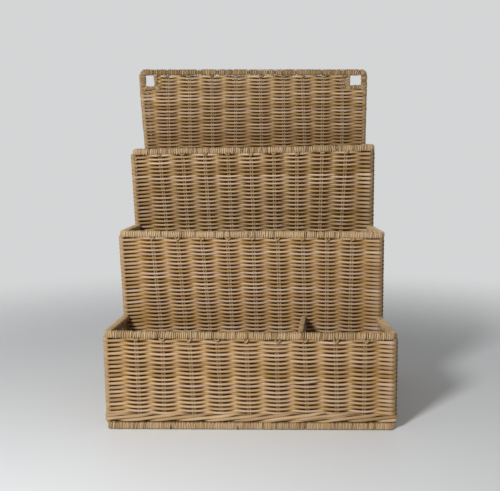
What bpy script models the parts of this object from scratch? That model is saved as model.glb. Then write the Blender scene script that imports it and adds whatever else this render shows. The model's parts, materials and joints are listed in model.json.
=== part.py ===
import bmesh
import bpy
from math import atan2, cos, pi, sin, tan
from mathutils import Matrix, Vector

# Rattan mail holder: four woven walls that step up from front to back, with three pockets between
# them and a divider in the front pocket. Metres, +Z up, +X to the right and +Y to the back, as seen
# from the front. The origin is in the middle of the footprint, on the surface the holder stands on.

# Overall sizes. Widths and heights are measured over the bound rims, and the sides run straight
# from the front corners to the back ones.
FRONT_WIDTH = 0.300
BACK_WIDTH = 0.280
FRONT_HEIGHT = 0.1035
SECOND_HEIGHT = 0.199
THIRD_HEIGHT = 0.291
BACK_HEIGHT = 0.387

# Pockets, each from the middle of one wall to the middle of the next
FRONT_POCKET = 0.082
MIDDLE_POCKET = 0.076
REAR_POCKET = 0.068

# Room between two pieces that lie against each other
CLEARANCE = 0.0003

# Canes and rods. A wall has double stakes upright in it, and the weavers pass in front of one pair
# and behind the next, so it is full over a stake and one weaver thick between two stakes.
WEAVER_DIAMETER = 0.0021
STAKE_DIAMETER = 0.0022
POST_DIAMETER = 0.0060

# Places of the double stakes, as shares of the width of their wall
FRONT_STAKE_SHARES = (0.110, 0.200, 0.298, 0.393, 0.489, 0.591, 0.689, 0.796, 0.892)
SECOND_STAKE_SHARES = (0.123, 0.222, 0.317, 0.411, 0.508, 0.600, 0.697, 0.787, 0.882)
THIRD_STAKE_SHARES = (0.119, 0.211, 0.304, 0.401, 0.495, 0.588, 0.682, 0.783, 0.876)
BACK_STAKE_SHARES = (0.117, 0.213, 0.312, 0.418, 0.530, 0.638, 0.726, 0.813, 0.898)
SIDE_STAKE_COUNT = 2
DIVIDER_STAKE_COUNT = 2
RUNNER_COUNT = 9

# Rims: a core rod that the stakes grow into, bound with cane all round but for the stakes' slot
RIM_THICKNESS = 0.0076
RIM_HEIGHT = 0.0078
RIM_ROUNDING = 0.0023
RIM_CORNER_RADIUS = 0.0050
BINDING_THICKNESS = 0.0016
CORE_ROUNDING_SHARE = 0.4

# Base: a bound frame that carries the woven floor, set in from the walls, under a thick wale
BASE_THICKNESS = 0.0074
BASE_ROUNDING = 0.0026
BASE_CORNER_RADIUS = 0.0045
BASE_INSET = 0.0024
FLOOR_LIFT = 0.0004
WALE_HEIGHT = 0.0066
WALE_COVER = 0.0010
WALE_WAIST_SHARE = 0.84

# Divider across the front pocket, slightly askew
DIVIDER_FRONT_X = 0.052
DIVIDER_BACK_X = 0.058
DIVIDER_RIM_THICKNESS = 0.0057
DIVIDER_RIM_HEIGHT = 0.0066
DIVIDER_RIM_ROUNDING = 0.0022

# Hanging eyes in the top corners of the back wall, each framed by the post, the rim and two bars
EYE_WIDTH = 0.0126
LEFT_EYE_HEIGHT = 0.0128
RIGHT_EYE_HEIGHT = 0.0100
EYE_SIDE_DIAMETER = 0.0056
EYE_SILL_DIAMETER = 0.0048

# How finely round shapes are divided
INTERVAL_STEPS = 6
ROD_SIDES = 6
POST_SIDES = 12
CORNER_STEPS = 3
SKIN_STEPS = 2
CORE_STEPS = 1

# Sizes that follow from the ones above
weave_thickness = STAKE_DIAMETER + 2 * WEAVER_DIAMETER
wale_thickness = POST_DIAMETER + 2 * (CLEARANCE + WALE_COVER)
base_height = weave_thickness + 2 * FLOOR_LIFT
stand_level = base_height + CLEARANCE
wale_top = stand_level + WALE_HEIGHT
weave_low = wale_top + CLEARANCE
post_radius = POST_DIAMETER / 2
pair_offset = (STAKE_DIAMETER + CLEARANCE) / 2

front_y = -(FRONT_POCKET + MIDDLE_POCKET + REAR_POCKET) / 2
second_y = front_y + FRONT_POCKET
third_y = second_y + MIDDLE_POCKET
back_y = third_y + REAR_POCKET

# Straight-grained natural rattan in its several uses: colour and roughness
WOVEN_CANE = ((0.46, 0.31, 0.165), 0.52)
UPRIGHT_ROD = ((0.50, 0.36, 0.21), 0.55)
BOUND_CANE = ((0.50, 0.33, 0.17), 0.46)
CORE_ROD = ((0.42, 0.29, 0.16), 0.60)
WALE_CANE = ((0.44, 0.29, 0.15), 0.52)


class Wall:
    """One cross wall: its name, middle line, height and the places of its stakes."""

    def __init__(self, name, y, height, stake_shares):
        self.name = name
        self.y = y
        self.height = height
        self.width = width_at(y)
        self.post_x = (self.width - RIM_THICKNESS) / 2
        self.length = 2 * self.post_x
        self.stakes = [share * self.width - RIM_THICKNESS / 2 for share in stake_shares]
        self.left_post = Vector((-self.post_x, y, 0))
        self.right_post = Vector((self.post_x, y, 0))


def width_at(y):
    """Width over the rims at a place between the front and the back wall."""
    share = (y - front_y) / (back_y - front_y)
    return FRONT_WIDTH + share * (BACK_WIDTH - FRONT_WIDTH)


def clear_scene():
    for old in list(bpy.data.objects):
        bpy.data.objects.remove(old, do_unlink=True)


def add_object(name, bm, location=(0, 0, 0), turn=0.0):
    """Turn a bmesh into a named object, its faces pointing out."""
    bmesh.ops.recalc_face_normals(bm, faces=bm.faces[:])
    mesh = bpy.data.meshes.new(name)
    bm.to_mesh(mesh)
    bm.free()
    mesh.shade_smooth()
    mesh.set_sharp_from_angle(angle=pi / 5)
    piece = bpy.data.objects.new(name, mesh)
    piece.location = location
    piece.rotation_euler = (0, 0, turn)
    bpy.context.scene.collection.objects.link(piece)
    return piece


def give_finish(piece, finish):
    """A Principled material of the piece's own."""
    colour, roughness = finish
    material = bpy.data.materials.new(piece.name)
    material.use_nodes = True
    shader = material.node_tree.nodes["Principled BSDF"]
    shader.inputs["Base Color"].default_value = (*colour, 1)
    shader.inputs["Roughness"].default_value = roughness
    shader.inputs["Metallic"].default_value = 0
    piece.data.materials.append(material)
    return piece


def as_cutter(piece):
    """Mark a piece as a helper that only cuts others."""
    piece.hide_render = True
    piece.display_type = "WIRE"
    return piece


def cut(piece, cutter):
    modifier = piece.modifiers.new(cutter.name, "BOOLEAN")
    modifier.operation = "DIFFERENCE"
    modifier.object = cutter


# Outlines in plan, u along the wall from the post at its start and v across it

def half_thickness(u, ribs):
    """Half the weave's thickness at u: full at a rib, half a weaver midway between two ribs."""
    for low, high in zip(ribs, ribs[1:]):
        if u <= high:
            break
    swell = cos(pi * (u - low) / (high - low)) ** 2
    return (WEAVER_DIAMETER + (STAKE_DIAMETER + WEAVER_DIAMETER) * swell) / 2


def weave_outline(ribs, start, end):
    """The scalloped outline of a woven wall between start and end."""
    places = [start, end]
    for low, high in zip(ribs, ribs[1:]):
        places += [low + (high - low) * step / INTERVAL_STEPS for step in range(INTERVAL_STEPS)]
    spacing = (ribs[1] - ribs[0]) / (2 * INTERVAL_STEPS)
    inner = [u for u in places if start + spacing < u < end - spacing]
    places = [start] + sorted(inner) + [end]
    near = [(u, -half_thickness(u, ribs)) for u in places]
    far = [(u, half_thickness(u, ribs)) for u in reversed(places)]
    return near + far


def channel_outline(u):
    """Round-ended slot for a double stake, with clearance round both rods."""
    radius = STAKE_DIAMETER / 2 + CLEARANCE
    flat = radius * tan(pi / 8)
    right = [(pair_offset + flat, -radius), (pair_offset + radius, -flat),
             (pair_offset + radius, flat), (pair_offset + flat, radius)]
    left = [(-x, -y) for x, y in right]
    return [(u + x, y) for x, y in right + left]


def round_outline(u, radius, sides):
    turns = [2 * pi * (side + 0.5) / sides for side in range(sides)]
    return [(u + radius * cos(turn), radius * sin(turn)) for turn in turns]


def box_outline(start, end, half_width):
    return [(start, -half_width), (end, -half_width), (end, half_width), (start, half_width)]


def wrapped_outline(length, half_width, outward):
    """Band past both end posts of a wall, rounded about them on the wall's outer side."""
    points = [(-half_width, outward * -half_width)]
    for middle, first_turn in ((0, pi), (length, 3 * pi / 2)):
        for step in range(CORNER_STEPS + 1):
            turn = first_turn + step / CORNER_STEPS * pi / 2
            points.append((middle + half_width * cos(turn), -outward * half_width * sin(turn)))
    return points + [(length + half_width, outward * -half_width)]


# Solids

def extruded(outlines, *rises):
    """Fill the first outline, less the others, and extrude it upwards in one or more steps."""
    bm = bmesh.new()
    for outline in outlines:
        corners = [bm.verts.new((u, v, 0)) for u, v in outline]
        for index, corner in enumerate(corners):
            bm.edges.new((corners[index - 1], corner))
    bmesh.ops.triangle_fill(bm, use_beauty=True, edges=bm.edges[:], normal=(0, 0, 1))
    faces = bm.faces[:]
    for step, rise in enumerate(rises):
        made = bmesh.ops.extrude_face_region(bm, geom=faces)["geom"]
        corners = [item for item in made if isinstance(item, bmesh.types.BMVert)]
        bmesh.ops.translate(bm, verts=corners, vec=(0, 0, rise))
        if step > 0:
            bmesh.ops.delete(bm, geom=faces, context="FACES_ONLY")
        faces = [item for item in made if isinstance(item, bmesh.types.BMFace)]
    return bm


def add_rod(bm, radius, sides, start, end):
    """A round rod between two points."""
    along = end - start
    turned = along.to_track_quat("Z", "Y").to_matrix().to_4x4()
    place = Matrix.Translation((start + end) / 2) @ turned @ Matrix.Rotation(pi / sides, 4, "Z")
    bmesh.ops.create_cone(bm, cap_ends=True, segments=sides, radius1=radius, radius2=radius,
                          depth=along.length, matrix=place)


def rounded_section(width, height, rounding, steps):
    """Rectangle with rounded corners, as (sideways, up) pairs round the middle."""
    points = []
    for quarter, (x_sign, z_sign) in enumerate(((1, 1), (-1, 1), (-1, -1), (1, -1))):
        middle_x = x_sign * (width / 2 - rounding)
        middle_z = z_sign * (height / 2 - rounding)
        for step in range(steps + 1):
            turn = (quarter + step / steps) * pi / 2
            points.append((middle_x + rounding * cos(turn), middle_z + rounding * sin(turn)))
    return points


def slotted_section(width, height, rounding):
    """Skin of a bound rod: open below in a slot that lets the stakes through to the core."""
    bore_width = width - 2 * BINDING_THICKNESS
    bore_height = height - 2 * BINDING_THICKNESS
    slot = STAKE_DIAMETER / 2 + CLEARANCE
    bore_rounding = CORE_ROUNDING_SHARE * min(bore_width, bore_height)
    skin = rounded_section(width, height, rounding, SKIN_STEPS)
    bore = rounded_section(bore_width, bore_height, bore_rounding, CORE_STEPS)

    def clear_of_slot(points):
        kept = [(x, z) for x, z in points if z > 0 or abs(x) > slot + CLEARANCE]
        return sorted(kept, key=lambda point: (atan2(point[1], point[0]) + pi / 2) % (2 * pi))

    outside = [(slot, -height / 2)] + clear_of_slot(skin) + [(-slot, -height / 2)]
    inside = [(slot, -bore_height / 2)] + clear_of_slot(bore) + [(-slot, -bore_height / 2)]
    return outside + inside[::-1]


def core_section(width, height):
    """Core rod that fits the bore of a bound rod."""
    core_width = width - 2 * (BINDING_THICKNESS + CLEARANCE)
    core_height = height - 2 * (BINDING_THICKNESS + CLEARANCE)
    core_rounding = CORE_ROUNDING_SHARE * min(core_width, core_height)
    return rounded_section(core_width, core_height, core_rounding, CORE_STEPS)


def rounded_path(points, radius, closed=False):
    """Round the corners of a level path with arcs of one radius."""
    count = len(points)
    path = []
    for index, corner in enumerate(points):
        if not closed and index in (0, count - 1):
            path.append(corner)
            continue
        back = (points[index - 1] - corner).normalized()
        ahead = (points[(index + 1) % count] - corner).normalized()
        half_turn = (pi - back.angle(ahead)) / 2
        middle = corner + (back + ahead).normalized() * radius / cos(half_turn)
        first = corner + back * radius * tan(half_turn) - middle
        sense = 1 if back.cross(ahead).z < 0 else -1
        for step in range(CORNER_STEPS + 1):
            turn = sense * 2 * half_turn * step / CORNER_STEPS
            path.append(middle + Matrix.Rotation(turn, 3, "Z") @ first)
    return path


def sideways(path, index, closed):
    """Level direction across the path at a point, lengthened at a corner so the sides keep their width."""
    count = len(path)
    directions = []
    if closed or index > 0:
        directions.append((path[index] - path[index - 1]).normalized())
    if closed or index < count - 1:
        directions.append((path[(index + 1) % count] - path[index]).normalized())
    along = sum(directions, Vector()).normalized()
    across = Vector((along.y, -along.x, 0))
    return across / along.dot(directions[0])


def swept(path, section, closed=False):
    """Sweep a section, given as (sideways, up) pairs, along a level path."""
    bm = bmesh.new()
    count = len(path)
    rings = []
    for index, point in enumerate(path):
        across = sideways(path, index, closed)
        rings.append([bm.verts.new(point + across * x + Vector((0, 0, z))) for x, z in section])
    for index in range(count if closed else count - 1):
        here, there = rings[index], rings[(index + 1) % count]
        for side in range(len(section)):
            bm.faces.new((here[side - 1], here[side], there[side], there[side - 1]))
    if not closed:
        bm.faces.new(rings[0])
        bm.faces.new(rings[-1])
    return bm


# Sub-parts

def woven_wall(name, start, end, ribs, low, high, end_room):
    """A woven panel from one post to the next, with a channel for each double stake."""
    along = end - start
    outlines = [weave_outline(ribs, end_room, along.length - end_room)]
    outlines += [channel_outline(u) for u in ribs[1:-1]]
    bm = extruded(outlines, high - low)
    piece = add_object(name, bm, (start.x, start.y, low), atan2(along.y, along.x))
    return give_finish(piece, WOVEN_CANE)


def double_stakes(bm, start, end, places, low, high):
    """Add the pairs of upright rods along one line of a wall."""
    along = (end - start).normalized()
    for u in places:
        for offset in (-pair_offset, pair_offset):
            foot = start + along * (u + offset)
            add_rod(bm, STAKE_DIAMETER / 2, ROD_SIDES, foot + Vector((0, 0, low)), foot + Vector((0, 0, high)))


def post(name, place, low, high):
    bm = bmesh.new()
    add_rod(bm, post_radius, POST_SIDES, Vector((0, 0, 0)), Vector((0, 0, high - low)))
    return give_finish(add_object(name, bm, (place.x, place.y, low)), UPRIGHT_ROD)


def bound_frame(name, path, middle, section, core, rods, closed=False):
    """A core rod along a level path, joined to its upright rods or runners, and its binding."""
    binding = add_object(name + "_binding", swept(path, section, closed), (0, 0, middle))
    give_finish(binding, BOUND_CANE)
    core_rod = as_cutter(add_object(name + "_core", swept(path, core, closed), (0, 0, middle)))
    frame = give_finish(add_object(name + "_frame", rods), UPRIGHT_ROD)
    joined = frame.modifiers.new("core", "BOOLEAN")
    joined.operation = "UNION"
    joined.object = core_rod


def evenly(length, count):
    """Places that divide a length into equal intervals."""
    return [length * (index + 1) / (count + 1) for index in range(count)]


def side_name(sign):
    return "left" if sign < 0 else "right"


def side_line(near, far, sign):
    """The side wall's line from the post of one wall to the post of the next."""
    if sign < 0:
        return near.left_post, far.left_post
    return near.right_post, far.right_post


def rim_end(near, far, sign):
    """Where a rim that returns along the side meets the face of the next wall."""
    start, end = side_line(near, far, sign)
    along = (end - start).normalized()
    seat = max(weave_thickness / 2, post_radius) + CLEARANCE + abs(along.x) * RIM_THICKNESS / 2
    return end - along * seat / along.y


def build_walls(walls):
    """The weave and the corner posts of the four cross walls."""
    for wall in walls:
        outer = wall in (walls[0], walls[-1])
        low = weave_low if outer else stand_level
        top = wall.height - RIM_HEIGHT - CLEARANCE
        ribs = [0] + wall.stakes + [wall.length]
        woven_wall(wall.name + "_wall_weave", wall.left_post, wall.right_post, ribs, low, top,
                   post_radius + CLEARANCE)
        post(wall.name + "_left_post", wall.left_post, stand_level, top)
        post(wall.name + "_right_post", wall.right_post, stand_level, top)


def build_rims(walls):
    """The stakes of each wall in its rim, which returns along both sides to the wall behind it."""
    section = slotted_section(RIM_THICKNESS, RIM_HEIGHT, RIM_ROUNDING)
    core = core_section(RIM_THICKNESS, RIM_HEIGHT)
    for index, wall in enumerate(walls):
        middle = wall.height - RIM_HEIGHT / 2
        rods = bmesh.new()
        double_stakes(rods, wall.left_post, wall.right_post, wall.stakes, stand_level, middle)
        if wall is walls[-1]:
            reach = Vector((RIM_THICKNESS / 2, 0, 0))
            path = [wall.left_post - reach, wall.right_post + reach]
        else:
            behind = walls[index + 1]
            points = [rim_end(wall, behind, -1), wall.left_post, wall.right_post, rim_end(wall, behind, 1)]
            path = rounded_path(points, RIM_CORNER_RADIUS)
            for sign in (-1, 1):
                start, end = side_line(wall, behind, sign)
                places = evenly((end - start).length, SIDE_STAKE_COUNT)
                double_stakes(rods, start, end, places, stand_level, middle)
        bound_frame(wall.name + "_rim", path, middle, section, core, rods)


def build_sides(walls):
    """Side walls of the three pockets, each as high as the rim that returns over it."""
    pockets = ("front", "middle", "rear")
    for pocket, near, far in zip(pockets, walls, walls[1:]):
        for sign in (-1, 1):
            start, end = side_line(near, far, sign)
            length = (end - start).length
            ribs = [0] + evenly(length, SIDE_STAKE_COUNT) + [length]
            top = near.height - RIM_HEIGHT - CLEARANCE
            woven_wall(pocket + "_" + side_name(sign) + "_side_weave", start, end, ribs, weave_low, top,
                       post_radius + CLEARANCE)


def wale_band(name, start, end, outline, stakes, posts):
    """Two thick rows of wale round the stakes and posts, with a waist between the rows."""
    along = end - start
    outlines = [outline] + [channel_outline(u) for u in stakes]
    outlines += [round_outline(u, post_radius + CLEARANCE, POST_SIDES) for u in posts]
    bm = extruded(outlines, WALE_HEIGHT / 2, WALE_HEIGHT / 2)
    for corner in bm.verts:
        on_long_side = abs(abs(corner.co.y) - wale_thickness / 2) < CLEARANCE / 2
        at_middle = abs(corner.co.z - WALE_HEIGHT / 2) < WALE_HEIGHT / 4
        if on_long_side and at_middle:
            corner.co.y *= WALE_WAIST_SHARE
    piece = add_object(name, bm, (start.x, start.y, stand_level), atan2(along.y, along.x))
    return give_finish(piece, WALE_CANE)


def build_wales(walls):
    """The wale goes round the foot of the four outer walls, in a band on each."""
    half = wale_thickness / 2
    front, back = walls[0], walls[-1]
    for wall, outward in ((front, -1), (back, 1)):
        outline = wrapped_outline(wall.length, half, outward)
        wale_band(wall.name + "_wale", wall.left_post, wall.right_post, outline, wall.stakes,
                  [0, wall.length])
    for sign in (-1, 1):
        start, end = side_line(front, back, sign)
        along = (end - start).normalized()
        slant = abs(along.x) * half
        low_end = (half + CLEARANCE + slant) / along.y
        stakes, posts = [], []
        for near, far in zip(walls, walls[1:]):
            near_post, far_post = side_line(near, far, sign)
            offset = (near_post - start).length
            stakes += [offset + u for u in evenly((far_post - near_post).length, SIDE_STAKE_COUNT)]
            posts.append((far_post - start).length)
        length = posts.pop()
        outline = box_outline(low_end, length - low_end, half)
        wale_band(side_name(sign) + "_wale", start, end, outline, stakes, posts)


def wale_room(walls):
    """Cutter that keeps the inner walls and the divider clear of the wale."""
    corners = [walls[0].left_post, walls[0].right_post, walls[-1].right_post, walls[-1].left_post]
    width = wale_thickness + 2 * CLEARANCE
    depth = WALE_HEIGHT + 2 * CLEARANCE
    section = box_outline(-width / 2, width / 2, depth / 2)
    bm = swept(corners, section, closed=True)
    cutter = add_object("wale_room", bm, (0, 0, stand_level + WALE_HEIGHT / 2))
    return as_cutter(cutter)


def base_corners(walls, inset):
    """Corners of a line that runs round the base, in from the middle of the outer walls."""
    front, back = walls[0], walls[-1]
    return [Vector((-front.post_x + inset, front.y + inset, 0)),
            Vector((front.post_x - inset, front.y + inset, 0)),
            Vector((back.post_x - inset, back.y - inset, 0)),
            Vector((-back.post_x + inset, back.y - inset, 0))]


def drawn_in(x, taper, runner_places):
    """Where x comes to at the back of the floor: runners draw together but keep their thickness."""
    nearest = min(runner_places, key=lambda place: abs(place - x))
    if abs(nearest - x) < STAKE_DIAMETER + 2 * CLEARANCE:
        return nearest * taper + (x - nearest)
    return x * taper


def build_base(walls):
    """Bound base frame with its runners from front to back, and the floor woven on them."""
    room = BASE_INSET + BASE_THICKNESS / 2 + 2 * CLEARANCE
    corners = base_corners(walls, room)
    width = corners[1].x - corners[0].x
    taper = (corners[2].x - corners[3].x) / width
    length = corners[2].y - corners[1].y
    places = evenly(width, RUNNER_COUNT)
    outlines = [weave_outline([0] + places + [width], 0, width)]
    outlines += [channel_outline(u) for u in places]
    bm = extruded([[(u - width / 2, v) for u, v in outline] for outline in outlines], length)
    for corner in bm.verts:
        if corner.co.z > length / 2:
            corner.co.x = drawn_in(corner.co.x, taper, [place - width / 2 for place in places])
    middle = base_height / 2
    floor = add_object("floor_weave", bm, (0, corners[0].y, middle))
    floor.rotation_euler = (-pi / 2, 0, 0)
    give_finish(floor, WOVEN_CANE)

    path = rounded_path(base_corners(walls, BASE_INSET), BASE_CORNER_RADIUS, closed=True)
    into_core = room - BASE_INSET
    runners = bmesh.new()
    for place in places:
        x = place - width / 2
        for offset in (-pair_offset, pair_offset):
            start = Vector((x + offset, corners[0].y - into_core, middle))
            end = Vector((x * taper + offset, corners[2].y + into_core, middle))
            add_rod(runners, STAKE_DIAMETER / 2, ROD_SIDES, start, end)
    upright = slotted_section(base_height, BASE_THICKNESS, BASE_ROUNDING)
    upright_core = core_section(base_height, BASE_THICKNESS)
    section = [(z, -x) for x, z in upright]
    core = [(z, -x) for x, z in upright_core]
    bound_frame("base", path, middle, section, core, runners, closed=True)


def face_depth(wall, low_x, high_x):
    """How far a wall's weave stands out from its middle line, at most, over a stretch of its width."""
    ribs = [0] + wall.stakes + [wall.length]
    steps = range(INTERVAL_STEPS + 1)
    places = [low_x + (high_x - low_x) * step / INTERVAL_STEPS + wall.post_x for step in steps]
    return max(half_thickness(u, ribs) for u in places)


def build_divider(front, second, clear_of_wale):
    """Divider between the front wall and the second, with its own bound rim."""
    reach = weave_thickness / 2
    near_depth = face_depth(front, DIVIDER_FRONT_X - reach, DIVIDER_FRONT_X + reach)
    far_depth = face_depth(second, DIVIDER_BACK_X - reach, DIVIDER_BACK_X + reach)
    start = Vector((DIVIDER_FRONT_X, front.y + near_depth + CLEARANCE, 0))
    end = Vector((DIVIDER_BACK_X, second.y - far_depth - CLEARANCE, 0))
    along = end - start
    skew = abs(along.normalized().x) * reach
    length = along.length
    places = evenly(length, DIVIDER_STAKE_COUNT)
    top = front.height - DIVIDER_RIM_HEIGHT - CLEARANCE
    weave = woven_wall("divider_weave", start, end, [0] + places + [length], stand_level, top, skew)
    cut(weave, clear_of_wale)

    direction = along.normalized()
    slant = abs(direction.x) * DIVIDER_RIM_THICKNESS / 2
    near_gap = (RIM_THICKNESS / 2 - near_depth + slant) / direction.y
    far_gap = (weave_thickness / 2 - far_depth + slant) / direction.y
    path = [start + direction * near_gap, end - direction * far_gap]
    middle = front.height - DIVIDER_RIM_HEIGHT / 2
    rods = bmesh.new()
    double_stakes(rods, start, end, places, stand_level, middle)
    section = slotted_section(DIVIDER_RIM_THICKNESS, DIVIDER_RIM_HEIGHT, DIVIDER_RIM_ROUNDING)
    core = core_section(DIVIDER_RIM_THICKNESS, DIVIDER_RIM_HEIGHT)
    bound_frame("divider", path, middle, section, core, rods)


def eye_room(name, back, sign, side, sill, low):
    """Cutter for the corner of the back wall's weave that an eye and its bars take up."""
    outer = back.post_x + post_radius
    inner = side - EYE_SIDE_DIAMETER / 2 - CLEARANCE
    outline = box_outline(sign * inner, sign * outer, weave_thickness)
    if sign < 0:
        outline.reverse()
    high = back.height
    bm = extruded([outline], high - low)
    return as_cutter(add_object(name, bm, (0, back.y, low)))


def build_eye(back, weave, sign, height):
    """One hanging eye: a sill bar from the post and a side bar from the sill up to the rim."""
    name = side_name(sign) + "_eye"
    rim_low = back.height - RIM_HEIGHT
    post_face = back.post_x - post_radius
    side = post_face - EYE_WIDTH - EYE_SIDE_DIAMETER / 2
    sill = rim_low - height - EYE_SILL_DIAMETER / 2
    sill_end = side - EYE_SIDE_DIAMETER / 2
    low = sill - EYE_SILL_DIAMETER / 2 - CLEARANCE
    cut(weave, eye_room(name + "_room", back, sign, side, sill, low))

    bm = bmesh.new()
    add_rod(bm, EYE_SILL_DIAMETER / 2, POST_SIDES, Vector((sign * sill_end, 0, 0)),
            Vector((sign * (post_face - CLEARANCE), 0, 0)))
    give_finish(add_object(name + "_sill", bm, (0, back.y, sill)), BOUND_CANE)

    foot = sill + EYE_SILL_DIAMETER / 2 + CLEARANCE
    bm = bmesh.new()
    add_rod(bm, EYE_SIDE_DIAMETER / 2, POST_SIDES, Vector((0, 0, foot)),
            Vector((0, 0, rim_low - CLEARANCE)))
    give_finish(add_object(name + "_side_bar", bm, (sign * side, back.y, 0)), BOUND_CANE)


def build():
    clear_scene()
    walls = [Wall("front", front_y, FRONT_HEIGHT, FRONT_STAKE_SHARES),
             Wall("second", second_y, SECOND_HEIGHT, SECOND_STAKE_SHARES),
             Wall("third", third_y, THIRD_HEIGHT, THIRD_STAKE_SHARES),
             Wall("back", back_y, BACK_HEIGHT, BACK_STAKE_SHARES)]
    front, second, third, back = walls
    clear_of_wale = wale_room(walls)
    build_walls(walls)
    build_rims(walls)
    build_sides(walls)
    build_wales(walls)
    build_base(walls)
    build_divider(front, second, clear_of_wale)
    for wall in (second, third):
        cut(bpy.data.objects[wall.name + "_wall_weave"], clear_of_wale)
    back_weave = bpy.data.objects["back_wall_weave"]
    build_eye(back, back_weave, -1, LEFT_EYE_HEIGHT)
    build_eye(back, back_weave, 1, RIGHT_EYE_HEIGHT)


build()
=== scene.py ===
import json
import math

import bmesh
import bpy
import numpy as np
from mathutils import Euler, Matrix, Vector

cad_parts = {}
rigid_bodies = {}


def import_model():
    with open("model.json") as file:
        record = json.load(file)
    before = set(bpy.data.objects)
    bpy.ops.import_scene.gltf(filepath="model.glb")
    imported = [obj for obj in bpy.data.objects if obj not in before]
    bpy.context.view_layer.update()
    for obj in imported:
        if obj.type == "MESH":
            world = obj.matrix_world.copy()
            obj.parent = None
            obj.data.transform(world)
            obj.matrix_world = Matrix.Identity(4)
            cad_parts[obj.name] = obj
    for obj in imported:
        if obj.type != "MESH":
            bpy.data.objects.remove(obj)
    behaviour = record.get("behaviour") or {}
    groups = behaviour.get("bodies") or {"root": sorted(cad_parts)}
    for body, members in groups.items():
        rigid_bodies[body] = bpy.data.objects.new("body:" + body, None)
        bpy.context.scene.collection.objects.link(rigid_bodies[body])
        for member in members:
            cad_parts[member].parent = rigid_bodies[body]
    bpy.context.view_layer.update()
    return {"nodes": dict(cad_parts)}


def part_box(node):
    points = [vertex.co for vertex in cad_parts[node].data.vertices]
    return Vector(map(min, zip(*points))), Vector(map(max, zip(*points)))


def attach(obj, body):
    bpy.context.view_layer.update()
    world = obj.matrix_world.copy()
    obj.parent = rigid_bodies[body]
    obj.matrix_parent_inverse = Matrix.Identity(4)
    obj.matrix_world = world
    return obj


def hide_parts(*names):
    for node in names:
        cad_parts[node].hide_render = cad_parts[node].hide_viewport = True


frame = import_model()
print("frame loaded:", len(frame["nodes"]), "nodes")

# The holder is woven from round cane. Every strand is a curve with a round bevel, laid along its
# own path over and under the uprights, and every binding is a row of flat cane loops.

random = np.random.default_rng(29)
wallNames = ["front", "second", "third", "back"]
pocketNames = ["front", "middle", "rear"]
rightward = np.array([1.0, 0.0])

cane = {
    "weaverDiameter": 0.00260,
    "stakeDiameter": 0.0020,
    "postDiameter": 0.0052,
    "postOutset": {"front": 0.0030, "second": 0.0020, "third": 0.0020, "back": 0.0018},
    "bevelSteps": 1,           # 1 gives six sides
    "postBevelSteps": 3,
    "intoPosts": 0.0002,       # weavers sink this far into the posts
    "sampleStep": 0.0037,
    "toneSpread": 0.19,
    "toneDrift": 0.03,         # slow change of shade along a strand, at each step and at most
    "toneDriftMost": 0.25,
}


def nodeLow(node):
    return np.array(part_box(node)[0])


def nodeHigh(node):
    return np.array(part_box(node)[1])


def nodeCentre(node):
    return (nodeLow(node) + nodeHigh(node)) / 2


def clusters(values, gap):
    # middles of the groups that values fall into
    values = np.sort(np.asarray(values))
    breaks = np.nonzero(np.diff(values) > gap)[0] + 1
    return [float((group[0] + group[-1]) / 2) for group in np.split(values, breaks)]


def outward(along):
    # the side of a travelling strand that faces out of the holder
    return np.array([along[1], -along[0]])


def unit(vector):
    vector = np.asarray(vector, float)
    return vector / np.linalg.norm(vector)


def easeInOut(share):
    return share ** 2 * (3 - 2 * share)


def runOf(points):
    # the way travelled at each point of a line
    return np.concatenate([[0], np.cumsum(np.linalg.norm(np.diff(points, axis=0), axis=1))])


# Where the uprights stand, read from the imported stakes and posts

reading = {"belowRim": 0.002, "wallHalf": 0.004, "behindWall": 0.008, "stakeGap": 0.006}


def stakesBelow(node, rimLow):
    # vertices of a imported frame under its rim, where it has only stakes
    places = np.array([vertex.co for vertex in frame["nodes"][node].data.vertices])
    return places[places[:, 2] < rimLow - reading["belowRim"]]


class Wall:
    def __init__(self, name):
        self.name = name
        left, right = nodeCentre(f"{name}_left_post"), nodeCentre(f"{name}_right_post")
        outset = np.array([cane["postOutset"][name], 0])      # posts stand this much further out
        self.leftCorner, self.rightCorner = left[:2], right[:2]
        self.leftPost, self.rightPost = left[:2] - outset, right[:2] + outset
        self.y = left[1]
        self.rimLow = nodeLow(f"{name}_rim_binding")[2]
        self.rimHigh = nodeHigh(f"{name}_rim_binding")[2]
        self.rimHalf = (self.rimHigh - self.rimLow) / 2
        self.rimMiddle = self.rimHigh - self.rimHalf
        places = stakesBelow(f"{name}_rim_frame", self.rimLow)
        across = places[np.abs(places[:, 1] - self.y) < reading["wallHalf"]]
        self.stakes = clusters(across[:, 0], reading["stakeGap"])
        self.sideStakes = []
        if name != "back":
            beside = places[(places[:, 1] > self.y + reading["behindWall"]) & (places[:, 0] < 0)]
            self.sideStakes = clusters(beside[:, 1], reading["stakeGap"])


walls = [Wall(name) for name in wallNames]
waleTop = nodeHigh("front_wale")[2]
standLevel = nodeLow("front_wale")[2]
print("walls:", [(wall.name, len(wall.stakes), len(wall.sideStakes)) for wall in walls])

# The uprights fan out a little: how far each one stands from its packed place at two heights, in
# millimetres, from the left post over the stakes to the right post. Reach is how far below and
# above the two heights this goes on.

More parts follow.
